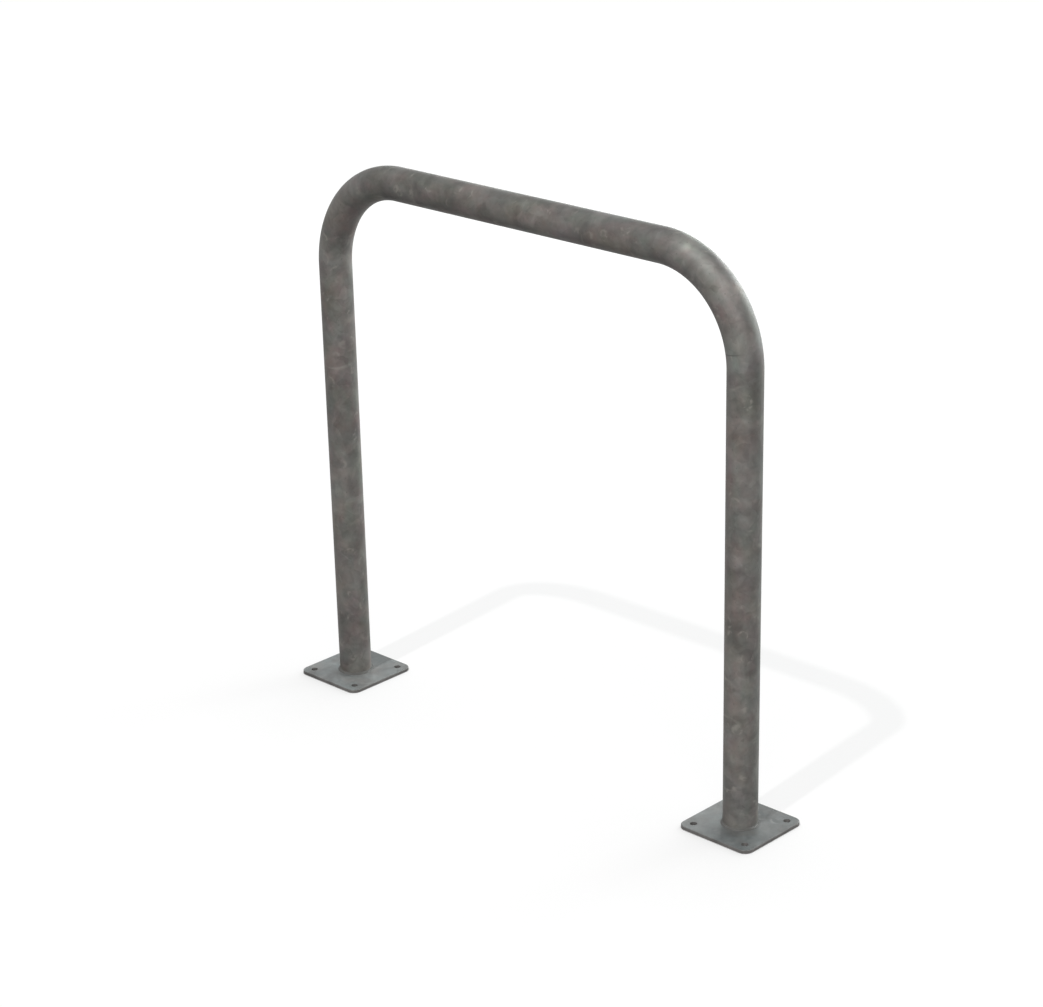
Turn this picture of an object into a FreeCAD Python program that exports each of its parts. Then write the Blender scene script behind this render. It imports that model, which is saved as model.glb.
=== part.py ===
import FreeCAD, Part
import math
import os

# Hoop bike rack: one round steel tube bent into an upside-down U that stands on two square plates.
# Each foot of the tube sits on its plate and is fillet welded to it all the way round, and the
# welded rack is dipped in zinc. The anchors that hold it to the ground are not part of it.
# Sizes are in millimetres. The origin is on the ground, midway between the two feet.
# +X runs along the hoop, from the left foot to the right one, and +Z is up.

# The tube, and the hoop that it is bent into
tube_diameter = 48.3
tube_wall = 3.2
leg_spacing = 767.0
hoop_height = 814.0
bend_radius = 140.0

# The square base plates
plate_size = 122.0
plate_thickness = 5.0
plate_corner_radius = 13.0
plate_edge_chamfer = 0.8

# The holes through each plate: one for an anchor near each corner, and one in the middle, hidden
# under the tube's bore, that lets air and molten zinc in and out of the hoop while it is dipped
anchor_hole_diameter = 10.0
anchor_hole_inset = 16.0
vent_hole_diameter = 20.0

# The weld bead round each foot: its two equal legs, how far its face bulges out of the straight
# line between their ends, and the ripples that the welder leaves one after the other
weld_leg = 3.0
weld_bulge = 0.35
weld_ripple_length = 3.0
weld_ripple_step = 0.5

# What follows from the sizes above
tube_radius = tube_diameter / 2
bore_radius = tube_radius - tube_wall
bar_height = hoop_height - tube_radius
feet = {"left": -leg_spacing / 2, "right": leg_spacing / 2}


def bent_path():
    """The tube's centre line: up one leg, round two quarter bends and down the other leg."""
    corner = math.radians(45)
    left_side = [
        FreeCAD.Vector(feet["left"], 0, plate_thickness),
        FreeCAD.Vector(feet["left"], 0, bar_height - bend_radius),
        FreeCAD.Vector(
            feet["left"] + bend_radius * (1 - math.cos(corner)),
            0,
            bar_height - bend_radius * (1 - math.sin(corner)),
        ),
        FreeCAD.Vector(feet["left"] + bend_radius, 0, bar_height),
    ]
    right_side = [FreeCAD.Vector(-point.x, point.y, point.z) for point in left_side]
    pieces = [
        Part.LineSegment(left_side[0], left_side[1]),
        Part.Arc(left_side[1], left_side[2], left_side[3]),
        Part.LineSegment(left_side[3], right_side[3]),
        Part.Arc(right_side[3], right_side[2], right_side[1]),
        Part.LineSegment(right_side[1], right_side[0]),
    ]
    return Part.Wire([piece.toShape() for piece in pieces])


def round_bar_along(path, radius):
    """A solid round bar that follows the path from the left foot to the right one."""
    foot = FreeCAD.Vector(feet["left"], 0, plate_thickness)
    section = Part.Wire([Part.makeCircle(radius, foot, FreeCAD.Vector(0, 0, 1))])
    return path.makePipeShell([section], True, True)


def hoop_tube():
    """The bent tube, open at both feet, where its cut ends rest on the plates."""
    path = bent_path()
    outside = round_bar_along(path, tube_radius)
    bore = round_bar_along(path, bore_radius)
    return outside.cut(bore).Solids[0]


def upright_hole(diameter, x, y):
    """The drill that makes a hole through a plate, from the ground to the plate's top face."""
    return Part.makeCylinder(diameter / 2, plate_thickness, FreeCAD.Vector(x, y, 0))


def base_plate(foot_x):
    """A square plate with rounded corners and an eased top edge, drilled for anchors and vent."""
    half = plate_size / 2
    corner = FreeCAD.Vector(foot_x - half, -half, 0)
    plate = Part.makeBox(plate_size, plate_size, plate_thickness, corner)
    upright_edges = [edge for edge in plate.Edges if edge.BoundBox.ZLength > plate_thickness / 2]
    plate = plate.makeFillet(plate_corner_radius, upright_edges)
    top_edges = [edge for edge in plate.Edges if edge.BoundBox.ZMin > plate_thickness / 2]
    plate = plate.makeChamfer(plate_edge_chamfer, top_edges)
    reach = half - anchor_hole_inset
    drills = [upright_hole(vent_hole_diameter, foot_x, 0)]
    for side_x in (-1, 1):
        for side_y in (-1, 1):
            drills.append(
                upright_hole(anchor_hole_diameter, foot_x + side_x * reach, side_y * reach)
            )
    return plate.cut(drills).Solids[0]


def bead_section(angle, leg):
    """The bead cut across at this angle round the foot. It runs into the tube, to be trimmed."""
    crown = leg / 2 + weld_bulge * math.sqrt(0.5)
    overlap = tube_wall / 2
    corners = [(-overlap, 0), (leg, 0), (crown, crown), (0, leg), (-overlap, leg)]
    points = []
    for outward, upward in corners:
        radius = tube_radius + outward
        points.append(
            FreeCAD.Vector(
                radius * math.cos(angle), radius * math.sin(angle), plate_thickness + upward
            )
        )
    return Part.makePolygon(points + points[:1])


def weld_bead(foot_x):
    """The fillet weld round one foot, as a ring of ripples.

    Each ripple starts at the full leg and tapers a little under the start of the next one. The
    ring is then trimmed to the tube's surface, so that it meets the tube and plate face to face.
    """
    count = max(3, round(math.pi * tube_diameter / weld_ripple_length))
    turn = 2 * math.pi / count
    ripples = []
    for number in range(count):
        start = bead_section(number * turn, weld_leg)
        end = bead_section((number + 1) * turn, weld_leg - weld_ripple_step)
        ripples.append(Part.makeLoft([start, end], True, True))
    ring = ripples[0].multiFuse(ripples[1:])
    foot = FreeCAD.Vector(0, 0, plate_thickness)
    bead = ring.cut(Part.makeCylinder(tube_radius, 2 * weld_leg, foot)).Solids[0]
    return bead.translated(FreeCAD.Vector(foot_x, 0, 0))


os.makedirs("parts", exist_ok=True)
hoop_tube().exportStep("parts/hoop_tube.step")
for side, foot_x in feet.items():
    base_plate(foot_x).exportStep(f"parts/base_plate_{side}.step")
    weld_bead(foot_x).exportStep(f"parts/weld_bead_{side}.step")
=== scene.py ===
import math

import bmesh
import bpy
from mathutils import Matrix, Vector


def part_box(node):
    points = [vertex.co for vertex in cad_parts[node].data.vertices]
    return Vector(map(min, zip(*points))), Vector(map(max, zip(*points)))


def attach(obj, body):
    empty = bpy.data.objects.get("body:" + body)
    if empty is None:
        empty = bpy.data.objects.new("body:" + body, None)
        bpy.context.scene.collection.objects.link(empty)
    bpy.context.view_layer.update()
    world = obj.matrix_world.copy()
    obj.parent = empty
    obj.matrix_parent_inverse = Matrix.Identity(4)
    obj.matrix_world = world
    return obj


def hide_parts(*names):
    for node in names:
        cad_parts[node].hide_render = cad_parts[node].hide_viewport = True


# Hoop bike rack: a bent tube welded to two square plates and then galvanised.
# Everything is in metres, in the frame of the CAD model: X along the hoop, Z up from the ground.
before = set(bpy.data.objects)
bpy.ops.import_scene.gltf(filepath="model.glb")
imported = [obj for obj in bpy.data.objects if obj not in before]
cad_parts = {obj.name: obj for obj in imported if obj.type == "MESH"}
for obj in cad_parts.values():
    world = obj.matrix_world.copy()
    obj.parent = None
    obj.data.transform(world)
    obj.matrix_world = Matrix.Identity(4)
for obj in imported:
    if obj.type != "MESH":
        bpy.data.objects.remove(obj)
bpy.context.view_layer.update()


# The camera stands in front of the hoop and to its right, and looks down at it. Its lens is
# shifted a little, because the photograph was cropped off centre. The photograph's size, its
# focal length and the middle of its lens are in pixels, and the film's width in millimetres.
photo_width = 1043
photo_height = 1007
focal_length = 2666.9
lens_centre = (559.4, 589.0)
film_width = 36.0
camera_place = Vector((2.42276, -2.50314, 1.71685))
camera_azimuth = math.radians(43.4443)
camera_elevation = math.radians(22.9361)
camera_roll = math.radians(-1.0011)

camera = bpy.data.cameras.new("camera")
camera.sensor_width = film_width
camera.lens = focal_length / photo_width * film_width
camera.shift_x = (photo_width / 2 - lens_centre[0]) / photo_width
camera.shift_y = (lens_centre[1] - photo_height / 2) / photo_width
camera_stand = bpy.data.objects.new("camera", camera)
camera_stand.matrix_world = (
    Matrix.Translation(camera_place)
    @ Matrix.Rotation(camera_azimuth, 4, "Z")
    @ Matrix.Rotation(math.pi / 2 - camera_elevation, 4, "X")
    @ Matrix.Rotation(camera_roll, 4, "Z")
)
bpy.context.scene.collection.objects.link(camera_stand)
bpy.context.scene.camera = camera_stand
bpy.context.scene.view_settings.view_transform = "Standard"


# The hoop stands on plain white paper. The paper looks white, with the hoop's faint shadow on it,
# but throws only a dim warm grey back up at the hoop. It lies a hair under the plates and is
# clear from below, so that their undersides can be seen.
floor_radius = 12.0
floor_sides = 64
floor_gap = 0.0001
floor_shade = (0.1, 0.1, 0.1, 1)
floor_bounce = (0.045, 0.0345, 0.0305, 1)

# The paper's own glow, a little lower round the place where the soft boxes light it most
floor_glow = 0.916
dimmed_place = (0.6, 1.2, 0)
dimmed_reach = 3.9
dimmed_most = 0.118

# The soft shadow in front of the feet, where they hide the light from the back
soft_shadow_lean = (-0.6, 1.9, 0)
soft_shadow_reach = 0.25
soft_shadow_depth = 0.28
soft_shadow_rays = 6

# The painted shade in the crevice where each plate meets the floor
crevice_depth = 0.008
crevice_shade_level = 0.12
crevice_openness = (0.25, 0.75)
crevice_rays = 4


def add_node(tree, kind, inputs=None, **settings):
    """Adds a shader node. Each input is given a plain value, or is linked to another's output."""
    node = tree.nodes.new(kind)
    for name, value in settings.items():
        setattr(node, name, value)
    for name, value in (inputs or {}).items():
        if isinstance(value, bpy.types.NodeSocket):
            tree.links.new(value, node.inputs[name])
        else:
            node.inputs[name].default_value = value
    return node


def math_node(tree, operation, *values):
    """The result of one sum on plain numbers or other nodes' outputs."""
    node = add_node(tree, "ShaderNodeMath", dict(enumerate(values)), operation=operation)
    return node.outputs[0]


def vector_node(tree, operation, *values):
    """The result of one sum on vectors: a number for a length or the like, and else a vector."""
    node = add_node(tree, "ShaderNodeVectorMath", dict(enumerate(values)), operation=operation)
    gives_number = operation in ("LENGTH", "DISTANCE", "DOT_PRODUCT")
    return node.outputs["Value" if gives_number else "Vector"]


def ramp(tree, value, span, levels=(0.0, 1.0), smooth=False):
    """Goes from one level to the other as the value crosses the span, and is even past its ends."""
    return add_node(
        tree, "ShaderNodeMapRange",
        {
            "Value": value,
            "From Min": span[0],
            "From Max": span[1],
            "To Min": levels[0],
            "To Max": levels[1],
        },
        interpolation_type="SMOOTHSTEP" if smooth else "LINEAR",
    ).outputs[0]


def mix_shaders(tree, share, first, second):
    """The first shader where the share is 0, and the second where it is 1."""
    return add_node(
        tree, "ShaderNodeMixShader", {0: share, 1: first.outputs[0], 2: second.outputs[0]}
    )


def seen_rays(tree):
    """1 on what the camera sees straight, in a reflection or through glass, and else 0."""
    path = add_node(tree, "ShaderNodeLightPath").outputs
    straight = math_node(tree, "MAXIMUM", path["Is Camera Ray"], path["Is Glossy Ray"])
    return math_node(tree, "MAXIMUM", straight, path["Is Transmission Ray"])


def empty_material(name):
    """A new material that has no nodes yet."""
    material = bpy.data.materials.new(name)
    material.use_nodes = True
    material.node_tree.nodes.clear()
    return material


def floor_material():
    """White paper with a glow of its own, which is weaker in the soft shadow and the crevices."""
    material = empty_material("floor")
    tree = material.node_tree
    place = add_node(tree, "ShaderNodeTexCoord").outputs["Object"]
    away = vector_node(tree, "DISTANCE", place, dimmed_place)
    dimming = ramp(tree, away, (0.0, dimmed_reach), (dimmed_most, 0.0), smooth=True)
    upward = add_node(tree, "ShaderNodeNewGeometry").outputs["Normal"]
    to_back = vector_node(tree, "NORMALIZE", vector_node(tree, "ADD", upward, soft_shadow_lean))
    back_air = add_node(
        tree, "ShaderNodeAmbientOcclusion",
        {"Distance": soft_shadow_reach, "Normal": to_back},
        samples=soft_shadow_rays,
    ).outputs["AO"]
    soft_shadow = math_node(
        tree, "MULTIPLY_ADD", back_air, soft_shadow_depth, 1 - soft_shadow_depth
    )
    open_air = add_node(
        tree, "ShaderNodeAmbientOcclusion", {"Distance": crevice_depth}, samples=crevice_rays
    ).outputs["AO"]
    openness = ramp(tree, open_air, crevice_openness, (crevice_shade_level, 1.0))
    glow_strength = math_node(
        tree, "MULTIPLY",
        math_node(tree, "MULTIPLY", openness, soft_shadow),
        math_node(tree, "SUBTRACT", floor_glow, dimming),
    )
    glow = add_node(tree, "ShaderNodeEmission", {"Strength": glow_strength})
    shade = add_node(tree, "ShaderNodeBsdfDiffuse", {"Color": floor_shade})
    seen = add_node(tree, "ShaderNodeAddShader", {0: glow.outputs[0], 1: shade.outputs[0]})
    bounce = add_node(tree, "ShaderNodeBsdfDiffuse", {"Color": floor_bounce})
    from_above = mix_shaders(tree, seen_rays(tree), bounce, seen)
    from_below = add_node(tree, "ShaderNodeBsdfTransparent")
    back_side = add_node(tree, "ShaderNodeNewGeometry").outputs["Backfacing"]
    surface = mix_shaders(tree, back_side, from_above, from_below)
    add_node(tree, "ShaderNodeOutputMaterial", {"Surface": surface.outputs[0]})
    return material


floor_mesh = bpy.data.meshes.new("floor")
sheet = bmesh.new()
bmesh.ops.create_circle(sheet, cap_ends=True, segments=floor_sides, radius=floor_radius)
sheet.to_mesh(floor_mesh)
sheet.free()
floor_mesh.materials.append(floor_material())
floor = bpy.data.objects.new("floor", floor_mesh)
floor.location.z = -floor_gap
bpy.context.scene.collection.objects.link(floor)


# The light: a dim white room, a small high lamp in front that throws the hoop's shadow to the
# back, and soft boxes round the hoop. Those behind it light its rim, most of all the rim box.
# The light in front is a little warm, and that from the back a little cool.
room_colour = (1, 1, 1, 1)
room_light = 0.22
backdrop_light = 1.0
lamp_strength = 2.6
lamp_azimuth = math.radians(5.58)
lamp_elevation = math.radians(60.12)
lamp_spread = math.radians(1.2)
front_light = (1, 0.99, 0.98)
back_light = (0.955, 0.998, 0.99)
box_aim = Vector((0, 0, 0.4))
soft_boxes = {
    "back_box": {"place": (-0.6, 3.2, 1.1), "size": (2.6, 1.5), "power": 80},
    "rim_box": {"place": (0.75, 2.65, 1.8), "size": (0.9, 0.9), "power": 52},
    "right_back_box": {"place": (1.6, 3.0, 0.9), "size": (1.5, 1.2), "power": 58},
    "right_front_box": {"place": (2.4, -2.2, 1.6), "size": (2.0, 2.0), "power": 73},
    "right_box": {"place": (3.2, -0.4, 1.4), "size": (2.0, 2.0), "power": 8},
    "left_back_box": {"place": (-2.2, 2.2, 0.9), "size": (1.5, 1.2), "power": 10},
}

world = bpy.data.worlds.new("room")
bpy.context.scene.world = world
world.use_nodes = True
room = world.node_tree
room.nodes.clear()
backdrop = add_node(
    room, "ShaderNodeBackground", {"Color": room_colour, "Strength": backdrop_light}
)
light = add_node(room, "ShaderNodeBackground", {"Color": room_colour, "Strength": room_light})
surroundings = mix_shaders(room, seen_rays(room), light, backdrop)
add_node(room, "ShaderNodeOutputWorld", {"Surface": surroundings.outputs[0]})

lamp = bpy.data.lights.new("lamp", "SUN")
lamp.energy = lamp_strength
lamp.color = front_light
lamp.angle = lamp_spread
lamp_stand = bpy.data.objects.new("lamp", lamp)
lamp_stand.rotation_euler = (math.pi / 2 - lamp_elevation, 0, lamp_azimuth)
bpy.context.scene.collection.objects.link(lamp_stand)

for box_name, box in soft_boxes.items():
    soft_box = bpy.data.lights.new(box_name, "AREA")
    soft_box.shape = "RECTANGLE"
    soft_box.size, soft_box.size_y = box["size"]
    soft_box.energy = box["power"]
    soft_box.color = back_light if box["place"][1] > 0 else front_light
    box_stand = bpy.data.objects.new(box_name, soft_box)
    box_stand.location = box["place"]
    box_stand.rotation_euler = (box_aim - box_stand.location).to_track_quat("-Z", "Y").to_euler()
    box_stand.visible_camera = False
    bpy.context.scene.collection.objects.link(box_stand)


# The hoop is one length of round steel tube, cold bent twice and then dipped in molten zinc. The
# zinc has weathered to a dull warm grey, with cloudy patches, faint crystals and pale run marks.
# Its cut ends stand on the plates, and its bore is open above the hole in each plate.
tube_diameter = 0.0483
tube_radius = tube_diameter / 2
tube_wall = 0.0032
leg_spacing = 0.767
hoop_height = 0.814
bend_radius = 0.140
plate_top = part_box("hoop_tube")[0].z
leg_length = hoop_height - tube_radius - bend_radius - plate_top
foot_x = leg_spacing / 2
bend_x = foot_x - bend_radius

# How finely the mesh follows the tube. The bore uses one station of the skin's in every four.
tube_sides = 128
leg_step = 0.04
bend_steps = 64
bore_every = 4

# What the tube has in one place only, by its way along the straight tube from the right foot: a
# thin dark line, a painted highlight on the right bend's shoulder, and three patches: a painted
# highlight and a painted shade on the right bend, and a duller patch at the top of the right leg.
# A patch is turned so many degrees from the tube's outer side towards the back, so that a minus
# is in front.
bend_mark_at = leg_length + 0.026
bend_mark_edge = (0.0004, 0.0013)
bend_mark_side = (0.0, 0.7 * tube_radius)
bend_mark_strength = 0.55
shoulder_highlight_at = leg_length + 0.14
shoulder_highlight_edge = (0.02, 0.075)
shoulder_highlight_side = (0.0, 0.8 * tube_radius)
shoulder_highlight_tone = 1.22
patches_and_painted_light = (
    {"along": leg_length + 0.152, "turn": -36, "length": 0.055, "width": 0.014, "tone": 1.36},
    {"along": leg_length + 0.128, "turn": -8, "length": 0.03, "width": 0.013, "tone": 0.7},
    {"along": leg_length - 0.01, "turn": -20, "length": 0.1, "width": 0.017, "tone": 0.75},
)

# The sizes of the patterns all over the tube. A run's or fleck's width is a share of their
# spacing, and a stretch squeezes or lengthens a pattern along the straight tube.
tube_pattern_place = (1.21, 0.3, 0.7)
tube_cloud_size = 0.05
tube_small_cloud_size = 0.015
tube_wash_size = 0.025
tube_wash_stretch = (0.5, 1, 1)
tube_crystal_size = 0.019
tube_run_spacing = 0.06
tube_run_width = 0.12
tube_run_stretch = (2.2, 1, 1)
tube_fleck_spacing = 0.021
tube_fleck_width = 0.14
tube_grain_size = 0.0016

# The tube's colours, and how strongly each is laid over the others
tube_brown = (0.127, 0.1035, 0.09, 1)
tube_grey = (0.1, 0.1055, 0.1045, 1)
tube_rose = (0.13, 0.0975, 0.1, 1)
tube_green = (0.099, 0.1115, 0.095, 1)
tube_blue = (0.103, 0.1125, 0.107, 1)
tube_pale = (0.215, 0.208, 0.188, 1)
tube_stain = (0.055, 0.052, 0.05, 1)
tube_tint_share = 0.52
tube_cloud_blue = 0.4
# The share of a painted cool light on the tube's outer side
tube_outer_painted_cool = 0.2
tube_outer_side = (0.3 * tube_radius, tube_radius)
tube_run_strength = 0.55
tube_fleck_strength = 0.55
tube_pit_strength = 0.35

# How much duller and paler each pattern makes the zinc. Painted light makes the bar paler on top
# and darker below, gives the bends and legs a tone of their own, and makes the left bend and leg
# a little paler than the right ones.
tube_cloud_tones = (0.73, 1.27)
tube_small_cloud_tones = (0.86, 1.14)
tube_wash_tones = (0.88, 1.12)
tube_facet_tones = (0.9, 1.1)
bar_painted_tones = (0.94, 1.09)
bar_top = (0.5 * tube_radius, tube_radius)
bar_fade = 0.06
leg_tone = 1.06
left_painted_light = 1.04
left_leg_fade = 0.1

# How rough, how metallic and how glossy the tube's skin is, and how deep its grain
tube_roughness = (0.5, 0.6)
tube_facet_roughness = (-0.03, 0.03)
tube_metal = (0.06, 0.16)
tube_gloss = 0.17
tube_bump = 0.35
grain_depth = 0.0002
border_groove = 0.3

# The levels of a mask that fades out, and the middle of the colours that a pattern gives
fading = (1.0, 0.0)
middle_grey = (0.5, 0.5, 0.5)


def xyz(tree, vector):
    """A vector's three numbers, each as an output of its own."""
    return add_node(tree, "ShaderNodeSeparateXYZ", {0: vector}).outputs


def random_numbers(tree, cells):
    """Three random numbers for each cell of a pattern."""
    return add_node(tree, "ShaderNodeSeparateColor", {0: cells.outputs["Color"]}).outputs


def apart(tree, first, second):
    """How far two numbers lie apart."""
    return math_node(tree, "ABSOLUTE", math_node(tree, "SUBTRACT", first, second))


def scaled(tree, vector, factor):
    """A vector, or a colour, times a factor that may vary over the surface."""
    return add_node(
        tree, "ShaderNodeVectorMath", {0: vector, "Scale": factor}, operation="SCALE"
    ).outputs[0]


def from_to(tree, mask, low, high):
    """Spreads a mask from 0 to 1 over the values from low to high."""
    return math_node(tree, "MULTIPLY_ADD", mask, high - low, low)


def new_group(name, inputs, outputs):
    """A shader node group with named sockets: its tree, its input node and its output node."""
    tree = bpy.data.node_groups.new(name, "ShaderNodeTree")
    for socket_name, socket_type in inputs.items():
        tree.interface.new_socket(name=socket_name, in_out="INPUT", socket_type=socket_type)
    for socket_name in outputs:
        tree.interface.new_socket(
            name=socket_name, in_out="OUTPUT", socket_type="NodeSocketFloat"
        )
    return tree, add_node(tree, "NodeGroupInput").outputs, add_node(tree, "NodeGroupOutput")


def zinc_clouds_group():
    """Soft patches of duller and brighter zinc, and apart from them a slow drift of its hue."""
    inputs = {"Place": "NodeSocketVector", "Patch Size": "NodeSocketFloat"}
    tree, given, result = new_group("zinc_clouds", inputs, ["Tone", "Hue"])
    hue_shift = (3.1, 7.7, 1.3)
    noise_span = (0.3, 0.7)
    scale = math_node(tree, "DIVIDE", 1.0, given["Patch Size"])
    tone = add_node(
        tree, "ShaderNodeTexNoise",
        {
            "Vector": given["Place"],
            "Scale": scale,
            "Detail": 4.0,
            "Roughness": 0.55,
            "Distortion": 0.7,
        },
    )
    hue = add_node(
        tree, "ShaderNodeTexNoise",
        {
            "Vector": vector_node(tree, "ADD", given["Place"], hue_shift),
            "Scale": scale,
            "Detail": 3.0,
            "Roughness": 0.5,
            "Distortion": 0.4,
        },
    )
    for name, noise in (("Tone", tone), ("Hue", hue)):
        tree.links.new(ramp(tree, noise.outputs[0], noise_span), result.inputs[name])
    return tree


def zinc_crystals_group():
    """The faint crystals of the zinc: a shade for each one, and a mask along their borders."""
    inputs = {"Place": "NodeSocketVector", "Crystal Size": "NodeSocketFloat"}
    tree, given, result = new_group("zinc_crystals", inputs, ["Facet", "Border"])
    border_width = 0.07
    scale = math_node(tree, "DIVIDE", 1.0, given["Crystal Size"])
    wobble = add_node(
        tree, "ShaderNodeTexNoise", {"Vector": given["Place"], "Scale": scale, "Detail": 2.0}
    )
    centred = vector_node(tree, "SUBTRACT", wobble.outputs["Color"], middle_grey)
    push = scaled(tree, centred, given["Crystal Size"])
    pushed = vector_node(tree, "ADD", given["Place"], push)
    cells = add_node(tree, "ShaderNodeTexVoronoi", {"Vector": pushed, "Scale": scale})
    edges = add_node(
        tree, "ShaderNodeTexVoronoi", {"Vector": pushed, "Scale": scale},
        feature="DISTANCE_TO_EDGE",
    )
    border = ramp(tree, edges.outputs[0], (0.0, border_width), fading, smooth=True)
    tree.links.new(random_numbers(tree, cells)[0], result.inputs["Facet"])
    tree.links.new(border, result.inputs["Border"])
    return tree


def run_marks_group():
    """Pale crescents that the zinc leaves where it runs off and sets.

    Each is one side of an uneven ring, broken here and there, and some cells have none. The
    ring's size and unevenness are shares of the spacing.
    """
    inputs = {
        "Place": "NodeSocketVector",
        "Spacing": "NodeSocketFloat",
        "Width": "NodeSocketFloat",
    }
    tree, given, result = new_group("run_marks", inputs, ["Mark"])
    wobbles_per_cell = 3.0
    unevenness = (-0.15, 0.15)
    ring_sizes = (0.2, 0.4)
    side_edge = (0.0, 0.05)
    break_edge = (0.42, 0.6)
    share_without = 0.35
    scale = math_node(tree, "DIVIDE", 1.0, given["Spacing"])
    wobble = add_node(
        tree, "ShaderNodeTexNoise",
        {
            "Vector": given["Place"],
            "Scale": math_node(tree, "MULTIPLY", scale, wobbles_per_cell),
            "Detail": 3.0,
        },
    ).outputs[0]
    cells = add_node(tree, "ShaderNodeTexVoronoi", {"Vector": given["Place"], "Scale": scale})
    chance = random_numbers(tree, cells)
    uneven = from_to(tree, wobble, *unevenness)
    from_middle = math_node(tree, "ADD", cells.outputs["Distance"], uneven)
    off_ring = apart(tree, from_middle, from_to(tree, chance[0], *ring_sizes))
    line = ramp(tree, off_ring, (0.0, given["Width"]), fading, smooth=True)
    outward = vector_node(tree, "SUBTRACT", given["Place"], cells.outputs["Position"])
    facing = vector_node(tree, "SUBTRACT", cells.outputs["Color"], middle_grey)
    side = vector_node(tree, "DOT_PRODUCT", outward, facing)
    one_side = ramp(tree, math_node(tree, "MULTIPLY", side, scale), side_edge)
    unbroken = ramp(tree, wobble, break_edge)
    some = math_node(tree, "GREATER_THAN", chance[2], share_without)
    mark = math_node(tree, "MULTIPLY", math_node(tree, "MULTIPLY", line, one_side), unbroken)
    tree.links.new(math_node(tree, "MULTIPLY", mark, some), result.inputs["Mark"])
    return tree


def fine_grain_group():
    """The grain of the zinc skin as a height, and small dark pits in some places of it."""
    inputs = {"Place": "NodeSocketVector", "Grain Size": "NodeSocketFloat"}
    tree, given, result = new_group("fine_grain", inputs, ["Height", "Pits"])
    pits_per_grain = 0.25
    pit_edge = (0.08, 0.2)
    share_without = 0.7
    scale = math_node(tree, "DIVIDE", 1.0, given["Grain Size"])
    grain = add_node(
        tree, "ShaderNodeTexNoise",
        {"Vector": given["Place"], "Scale": scale, "Detail": 5.0, "Roughness": 0.6},
    )
    cells = add_node(
        tree, "ShaderNodeTexVoronoi",
        {
            "Vector": given["Place"],
            "Scale": math_node(tree, "MULTIPLY", scale, pits_per_grain),
        },
    )
    dot = ramp(tree, cells.outputs["Distance"], pit_edge, fading)
    some = math_node(tree, "GREATER_THAN", random_numbers(tree, cells)[0], share_without)
    tree.links.new(grain.outputs[0], result.inputs["Height"])
    tree.links.new(math_node(tree, "MULTIPLY", dot, some), result.inputs["Pits"])
    return tree


zinc_clouds = zinc_clouds_group()
zinc_crystals = zinc_crystals_group()
run_marks = run_marks_group()
fine_grain = fine_grain_group()


def place_group(tree, group, inputs):
    """Puts a node group into a material with its own values, and gives its outputs."""
    return add_node(tree, "ShaderNodeGroup", inputs, node_tree=group).outputs


def blend_colour(tree, share, first, second):
    """A colour between two others, by a share from 0 to 1."""
    return add_node(
        tree, "ShaderNodeMix", {0: share, 6: first, 7: second}, data_type="RGBA"
    ).outputs[2]


def blend_number(tree, share, first, second):
    """A number between two others, by a share from 0 to 1."""
    return add_node(tree, "ShaderNodeMix", {0: share, 2: first, 3: second}).outputs[0]


def mottled(tree, colour, tones):
    """A colour made duller and paler by one mask after the other, each over its own two tones."""
    for mask, (first_tone, last_tone) in tones:
        colour = scaled(tree, colour, from_to(tree, mask, first_tone, last_tone))
    return colour


def marked(tree, colour, marks):
    """A colour with marks over it: where each kind is, how strong it is, and its own colour."""
    for mask, strength, mark_colour in marks:
        share = math_node(tree, "MULTIPLY", mask, strength)
        colour = blend_colour(tree, share, colour, mark_colour)
    return colour


def skin_height(tree, grain, crystals):
    """The height of the zinc skin: its grain, and a groove along the borders of its crystals."""
    groove = math_node(tree, "MULTIPLY", crystals["Border"], -border_groove)
    return math_node(tree, "ADD", grain["Height"], groove)


def zinc_surface(tree, height, bump_strength, looks):
    """Ends a material in a zinc skin with this height and these inputs of its shader."""
    bump = add_node(
        tree, "ShaderNodeBump",
        {"Strength": bump_strength, "Distance": grain_depth, "Height": height},
    )
    shader = add_node(
        tree, "ShaderNodeBsdfPrincipled", {**looks, "Normal": bump.outputs[0]}
    )
    add_node(tree, "ShaderNodeOutputMaterial", {"Surface": shader.outputs[0]})


def bend_mark(tree, unbent):
    """A thin dark line across the inner side of the right bend, left by the bending tool."""
    split = xyz(tree, unbent)
    line = ramp(tree, apart(tree, split[0], bend_mark_at), bend_mark_edge, fading)
    inner_side = ramp(tree, split[2], bend_mark_side, fading)
    return math_node(tree, "MULTIPLY", line, inner_side)


def painted_shoulder_highlight(tree, unbent):
    """A mask for a painted highlight on the outer side of the right bend, near the bar."""
    split = xyz(tree, unbent)
    off_middle = apart(tree, split[0], shoulder_highlight_at)
    along = ramp(tree, off_middle, shoulder_highlight_edge, fading, smooth=True)
    outer_side = ramp(tree, split[2], shoulder_highlight_side)
    return math_node(tree, "MULTIPLY", along, outer_side)


def patch_mask(tree, unbent, patch):
    """A soft oval mask on the skin, so far along the straight tube and turned so far round it."""
    turn = math.radians(patch["turn"])
    middle = (patch["along"], tube_radius * math.sin(turn), tube_radius * math.cos(turn))
    reach = (patch["length"], patch["width"], patch["width"])
    off_middle = vector_node(tree, "SUBTRACT", unbent, middle)
    away = vector_node(tree, "LENGTH", vector_node(tree, "DIVIDE", off_middle, reach))
    return ramp(tree, away, (0.0, 1.0), fading, smooth=True)


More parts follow.
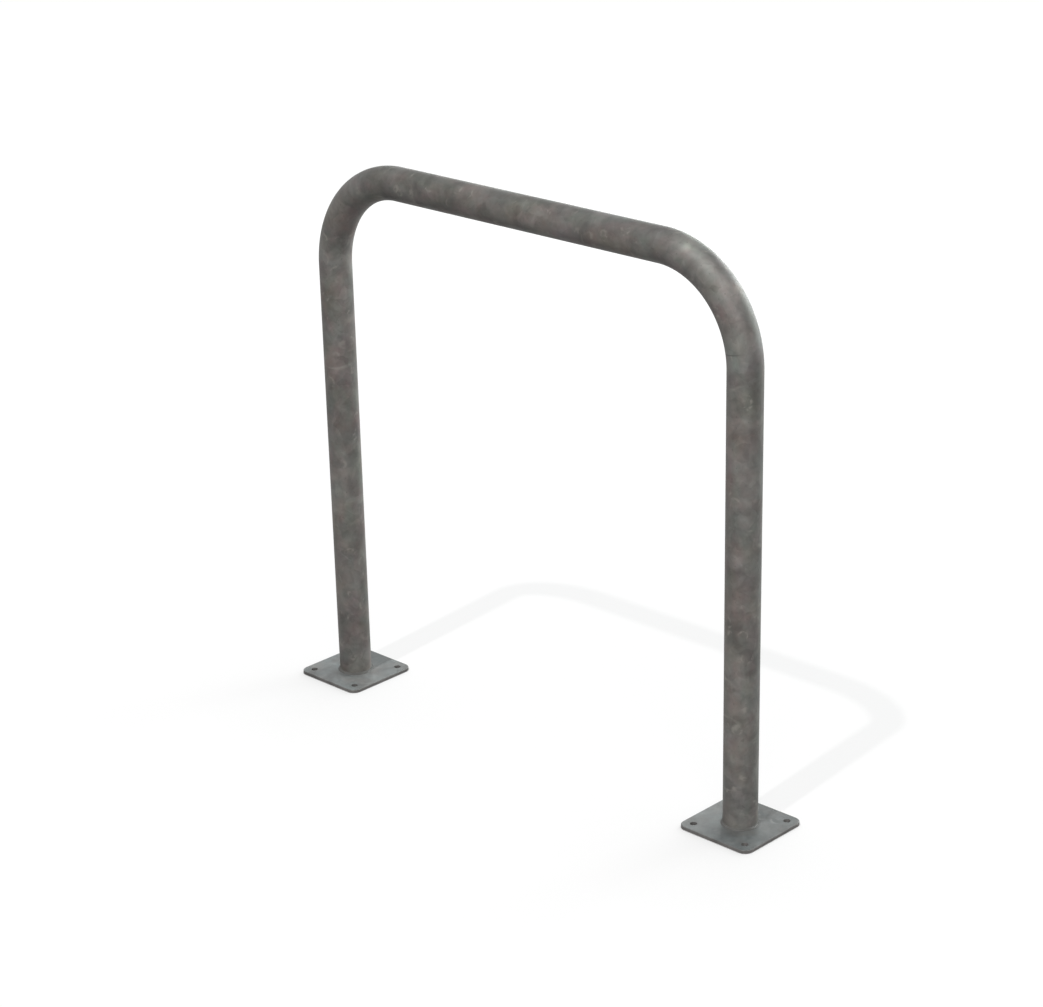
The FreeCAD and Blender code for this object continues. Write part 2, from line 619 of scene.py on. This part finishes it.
def painted_tube_light(tree, place, unbent):
    """Painted light and shade along the tube: on the bar, on its bends and legs, and more on the
    left.
    """
    across = xyz(tree, place)[0]
    outward = xyz(tree, unbent)[2]
    from_middle = math_node(tree, "ABSOLUTE", across)
    off_bar = ramp(tree, from_middle, (bend_x, bend_x + bar_fade))
    painted_bar_shade = ramp(tree, outward, bar_top, bar_painted_tones)
    bar_or_leg = blend_number(tree, off_bar, painted_bar_shade, leg_tone)
    left_side = ramp(tree, across, (-bend_x, -bend_x - left_leg_fade), (1.0, left_painted_light))
    return math_node(tree, "MULTIPLY", bar_or_leg, left_side)


def tube_material():
    """Weathered zinc. Its patterns lie in space, or along the tube as it was before the bending."""
    material = empty_material("galvanised_tube")
    tree = material.node_tree
    place = add_node(tree, "ShaderNodeTexCoord").outputs["Object"]
    unbent = add_node(tree, "ShaderNodeAttribute", attribute_name="unbent").outputs["Vector"]
    moved = vector_node(tree, "ADD", place, tube_pattern_place)
    lengthwise = vector_node(tree, "MULTIPLY", unbent, tube_wash_stretch)
    crosswise = vector_node(tree, "MULTIPLY", unbent, tube_run_stretch)
    clouds = place_group(tree, zinc_clouds, {"Place": moved, "Patch Size": tube_cloud_size})
    small_clouds = place_group(
        tree, zinc_clouds, {"Place": moved, "Patch Size": tube_small_cloud_size}
    )
    washes = place_group(tree, zinc_clouds, {"Place": lengthwise, "Patch Size": tube_wash_size})
    crystals = place_group(
        tree, zinc_crystals, {"Place": place, "Crystal Size": tube_crystal_size}
    )
    runs = place_group(
        tree, run_marks,
        {"Place": crosswise, "Spacing": tube_run_spacing, "Width": tube_run_width},
    )
    flecks = place_group(
        tree, run_marks,
        {"Place": place, "Spacing": tube_fleck_spacing, "Width": tube_fleck_width},
    )
    grain = place_group(tree, fine_grain, {"Place": place, "Grain Size": tube_grain_size})

    colour = blend_colour(tree, clouds["Hue"], tube_brown, tube_grey)
    tint = blend_colour(tree, washes["Hue"], tube_rose, tube_green)
    colour = blend_colour(tree, tube_tint_share, colour, tint)
    # A painted cool light on the tube's outer side, and cooler small clouds at random
    painted_cool_outside = ramp(tree, xyz(tree, unbent)[2], tube_outer_side, (0.0, tube_outer_painted_cool))
    cooler_clouds = math_node(tree, "MULTIPLY", small_clouds["Hue"], tube_cloud_blue)
    cool_hue_and_light = math_node(tree, "ADD", painted_cool_outside, cooler_clouds)
    colour = blend_colour(tree, cool_hue_and_light, colour, tube_blue)
    # Painted light and shade along the tube
    colour = scaled(tree, colour, painted_tube_light(tree, place, unbent))
    # The painted highlight on the right bend's shoulder, then the patches with their painted
    # highlight and shade
    tones = [(painted_shoulder_highlight(tree, unbent), (1.0, shoulder_highlight_tone))]
    tones += [(patch_mask(tree, unbent, patch), (1.0, patch["tone"])) for patch in patches_and_painted_light]
    tones += [
        (clouds["Tone"], tube_cloud_tones),
        (small_clouds["Tone"], tube_small_cloud_tones),
        (washes["Tone"], tube_wash_tones),
        (crystals["Facet"], tube_facet_tones),
    ]
    marks = (
        (runs["Mark"], tube_run_strength, tube_pale),
        (flecks["Mark"], tube_fleck_strength, tube_pale),
        (grain["Pits"], tube_pit_strength, tube_stain),
        (bend_mark(tree, unbent), bend_mark_strength, tube_stain),
    )
    roughness = math_node(
        tree, "ADD",
        from_to(tree, small_clouds["Tone"], *tube_roughness),
        from_to(tree, crystals["Facet"], *tube_facet_roughness),
    )
    looks = {
        "Base Color": marked(tree, mottled(tree, colour, tones), marks),
        "Roughness": roughness,
        "Metallic": from_to(tree, clouds["Tone"], *tube_metal),
        "Specular IOR Level": tube_gloss,
    }
    zinc_surface(tree, skin_height(tree, grain, crystals), tube_bump, looks)
    return material


def hoop_path():
    """Stations along the tube's centre line: where each one is, and which way is outward there."""
    bend_z = plate_top + leg_length
    leg_count = round(leg_length / leg_step)
    bar_count = round(2 * bend_x / leg_step)
    right_side = []
    for i in range(leg_count):
        height = plate_top + leg_length * i / leg_count
        right_side.append((Vector((foot_x, 0, height)), Vector((1, 0, 0))))
    for i in range(bend_steps + 1):
        turn = math.pi / 2 * i / bend_steps
        outward = Vector((math.cos(turn), 0, math.sin(turn)))
        right_side.append((Vector((bend_x, 0, bend_z)) + outward * bend_radius, outward))
    bar = []
    for i in range(1, bar_count):
        across = bend_x - 2 * bend_x * i / bar_count
        bar.append((Vector((across, 0, bend_z + bend_radius)), Vector((0, 0, 1))))
    mirror = Matrix.Scale(-1, 3, Vector((1, 0, 0)))
    left_side = [(mirror @ centre, mirror @ outward) for centre, outward in reversed(right_side)]
    return right_side + bar + left_side


def tube_wall_rings(mesh, stations, radius, unbent):
    """One skin of the tube: a ring of points at every station, joined by faces.

    Each point also keeps where it was on the straight tube: how far along it, and which way out.
    """
    rings = []
    along = 0
    last = stations[0][0]
    for centre, outward in stations:
        along += (centre - last).length
        last = centre
        ring = []
        for side in range(tube_sides):
            turn = 2 * math.pi * side / tube_sides
            spoke = outward * math.cos(turn) + Vector((0, math.sin(turn), 0))
            point = mesh.verts.new(centre + spoke * radius)
            point[unbent] = Vector((along, radius * math.sin(turn), radius * math.cos(turn)))
            ring.append(point)
        rings.append(ring)
    for ring, after in zip(rings, rings[1:]):
        for side in range(tube_sides):
            past = (side + 1) % tube_sides
            mesh.faces.new((ring[side], ring[past], after[past], after[side])).smooth = True
    return rings[0], rings[-1]


def make_tube():
    """The bent tube: its skin, its bore, and the flat ring of each cut end between them."""
    shape = bmesh.new()
    unbent = shape.verts.layers.float_vector.new("unbent")
    stations = hoop_path()
    outer_ends = tube_wall_rings(shape, stations, tube_radius, unbent)
    bore_stations = stations[::bore_every] + stations[-1:]
    bore_ends = tube_wall_rings(shape, bore_stations, tube_radius - tube_wall, unbent)
    for outer, bore in zip(outer_ends, bore_ends):
        for side in range(tube_sides):
            past = (side + 1) % tube_sides
            shape.faces.new((outer[side], outer[past], bore[past], bore[side]))
    bmesh.ops.recalc_face_normals(shape, faces=shape.faces)
    for edge in shape.edges:
        edge.smooth = all(face.smooth for face in edge.link_faces)
    mesh = bpy.data.meshes.new("bent_tube")
    shape.to_mesh(mesh)
    shape.free()
    mesh.materials.append(tube_material())
    piece = bpy.data.objects.new("bent_tube", mesh)
    bpy.context.scene.collection.objects.link(piece)
    return piece


tube = make_tube()
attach(tube, "root")
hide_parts("hoop_tube")


# The two base plates are cut from flat steel, drilled for four anchors each and galvanised with
# the hoop. Their zinc is cooler and brighter. Painted light makes the left plate and the inner side
# of the right one paler. Painted shade and a painted reflection of the tube darken each plate in
# front of its foot, and painted shade darkens it towards its back right corner. Their upright
# faces have a paler colour of their own, which is painted light.
plate_cool = (0.0915, 0.103, 0.1045, 1)
plate_warm = (0.104, 0.1035, 0.101, 1)
# Painted light: the colour of the plates' upright faces
painted_side_colour = (0.119, 0.115, 0.112, 1)
plate_pale = (0.2, 0.205, 0.2, 1)
plate_stain_and_shade = (0.06, 0.05, 0.041, 1)

# The sizes of the patterns, and how strongly the pale marks and the dark pits show
plate_cloud_size = 0.035
plate_small_cloud_size = 0.013
plate_crystal_size = 0.011
plate_mark_spacing = 0.04
plate_mark_width = 0.06
plate_grain_size = 0.0012
plate_mark_strength = 0.4
plate_pit_strength = 0.4

# How much duller and paler the patterns make the zinc, and the painted light and shade on the
# plates
plate_cloud_tones = (0.8, 1.2)
plate_small_cloud_tones = (0.88, 1.12)
plate_facet_tones = (0.92, 1.08)
painted_light_span = (foot_x - 0.1, foot_x + 0.065)
painted_light_tones = (1.32, 0.78)
corner_shade_side = (0.75, 0.66, 0)
corner_shade_reach = 0.08
corner_shade_tones = (1.0, 0.82)
upright_span = (0.5, 0.9)

# Painted shade and a painted reflection of the tube on the zinc in front of each foot, by the weld
weld_leg = 0.003
weld_reach = tube_radius + weld_leg
foot_shade_width = 0.02
foot_shade_side = (0.5, -0.87, 0)
plate_foot_shade_shares = (0.3, 0.18)
plate_foot_roughness = 0.25

# How rough, how metallic and how glossy the plates' skin is
plate_roughness = (0.44, 0.54)
plate_metal = (0.03, 0.1)
plate_gloss = 0.12
plate_bump = 0.3


def coat(node_name, finish):
    """Gives a piece of the CAD model its material."""
    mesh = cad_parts[node_name].data
    mesh.materials.clear()
    mesh.materials.append(finish)


def from_nearest_foot(tree, place):
    """Where a point lies from the middle of the foot on its side of the hoop, seen from above."""
    split = xyz(tree, place)
    nearest_foot = math_node(tree, "MULTIPLY", math_node(tree, "SIGN", split[0]), foot_x)
    return add_node(
        tree, "ShaderNodeCombineXYZ",
        {"X": math_node(tree, "SUBTRACT", split[0], nearest_foot), "Y": split[1]},
    ).outputs[0]


def foot_painted_shade(tree, place):
    """A mask for the painted shade and reflection of the tube in front of each foot."""
    from_foot = from_nearest_foot(tree, place)
    away = vector_node(tree, "LENGTH", from_foot)
    round_weld = ramp(tree, away, (weld_reach, weld_reach + foot_shade_width), fading, smooth=True)
    aside = vector_node(tree, "DOT_PRODUCT", from_foot, foot_shade_side)
    one_side = ramp(tree, aside, (0.0, tube_radius))
    return math_node(tree, "MULTIPLY", round_weld, one_side)


def upright_faces(tree):
    """A mask for the faces that stand upright round the plate, and for its eased top edge."""
    normal = add_node(tree, "ShaderNodeNewGeometry").outputs["Normal"]
    return ramp(tree, math_node(tree, "ABSOLUTE", xyz(tree, normal)[2]), upright_span, fading)


def plate_material():
    """Brighter zinc with painted light and shade across it, and one colour of painted light on
    upright faces.
    """
    material = empty_material("galvanised_plate")
    tree = material.node_tree
    place = add_node(tree, "ShaderNodeTexCoord").outputs["Object"]
    clouds = place_group(tree, zinc_clouds, {"Place": place, "Patch Size": plate_cloud_size})
    small_clouds = place_group(
        tree, zinc_clouds, {"Place": place, "Patch Size": plate_small_cloud_size}
    )
    crystals = place_group(
        tree, zinc_crystals, {"Place": place, "Crystal Size": plate_crystal_size}
    )
    pale_marks = place_group(
        tree, run_marks,
        {"Place": place, "Spacing": plate_mark_spacing, "Width": plate_mark_width},
    )
    grain = place_group(tree, fine_grain, {"Place": place, "Grain Size": plate_grain_size})
    # Painted shade and reflection of the tube in front of each foot, which also roughens the zinc
    # there
    foot_shade_share = from_to(tree, clouds["Tone"], *plate_foot_shade_shares)
    foot_shade = math_node(tree, "MULTIPLY", foot_painted_shade(tree, place), foot_shade_share)
    # Painted light across the plates, and painted shade towards each back right corner
    painted_light = ramp(tree, xyz(tree, place)[0], painted_light_span, painted_light_tones, smooth=True)
    to_corner = vector_node(tree, "DOT_PRODUCT", from_nearest_foot(tree, place), corner_shade_side)
    corner_shade = ramp(tree, to_corner, (0.0, corner_shade_reach), corner_shade_tones)

    colour = blend_colour(tree, clouds["Hue"], plate_cool, plate_warm)
    colour = scaled(tree, colour, math_node(tree, "MULTIPLY", painted_light, corner_shade))
    # The upright faces start from one paler colour: painted light on the plate's sides
    colour = blend_colour(tree, upright_faces(tree), colour, painted_side_colour)
    tones = (
        (clouds["Tone"], plate_cloud_tones),
        (small_clouds["Tone"], plate_small_cloud_tones),
        (crystals["Facet"], plate_facet_tones),
    )
    marks = (
        (pale_marks["Mark"], plate_mark_strength, plate_pale),
        (grain["Pits"], plate_pit_strength, plate_stain_and_shade),
    )
    colour = marked(tree, mottled(tree, colour, tones), marks)
    roughness = math_node(
        tree, "ADD",
        from_to(tree, crystals["Facet"], *plate_roughness),
        math_node(tree, "MULTIPLY", foot_shade, plate_foot_roughness),
    )
    looks = {
        "Base Color": blend_colour(tree, foot_shade, colour, plate_stain_and_shade),
        "Roughness": roughness,
        "Metallic": from_to(tree, clouds["Tone"], *plate_metal),
        "Specular IOR Level": plate_gloss,
    }
    zinc_surface(tree, skin_height(tree, grain, crystals), plate_bump, looks)
    return material


plate_finish = plate_material()
for side in ("left", "right"):
    coat(f"base_plate_{side}", plate_finish)


# A fillet weld runs round each foot, one ripple after the other. The zinc lies over it as it
# does over the plate, with the same painted shade in front, so that the bead hardly stands out.
weld_grey = (0.106, 0.108, 0.105, 1)
weld_dull = (0.087, 0.087, 0.084, 1)
weld_painted_shade = (0.052, 0.049, 0.046, 1)
weld_cloud_size = 0.012
weld_grain_size = 0.0009
weld_foot_shade_strength = 0.55
weld_roughness = (0.55, 0.68)
weld_metal = (0.03, 0.1)
weld_gloss = 0.15
weld_bump = 0.4


def weld_material():
    """Dull zinc over the bead, in small clouds and a fine grain, with painted shade in front."""
    material = empty_material("galvanised_weld")
    tree = material.node_tree
    place = add_node(tree, "ShaderNodeTexCoord").outputs["Object"]
    clouds = place_group(tree, zinc_clouds, {"Place": place, "Patch Size": weld_cloud_size})
    grain = place_group(tree, fine_grain, {"Place": place, "Grain Size": weld_grain_size})
    colour = blend_colour(tree, clouds["Tone"], weld_dull, weld_grey)
    foot_shade = math_node(tree, "MULTIPLY", foot_painted_shade(tree, place), weld_foot_shade_strength)
    looks = {
        "Base Color": blend_colour(tree, foot_shade, colour, weld_painted_shade),
        "Roughness": from_to(tree, clouds["Hue"], *weld_roughness),
        "Metallic": from_to(tree, clouds["Tone"], *weld_metal),
        "Specular IOR Level": weld_gloss,
    }
    zinc_surface(tree, grain["Height"], weld_bump, looks)
    return material


weld_finish = weld_material()
for side in ("left", "right"):
    coat(f"weld_bead_{side}", weld_finish)
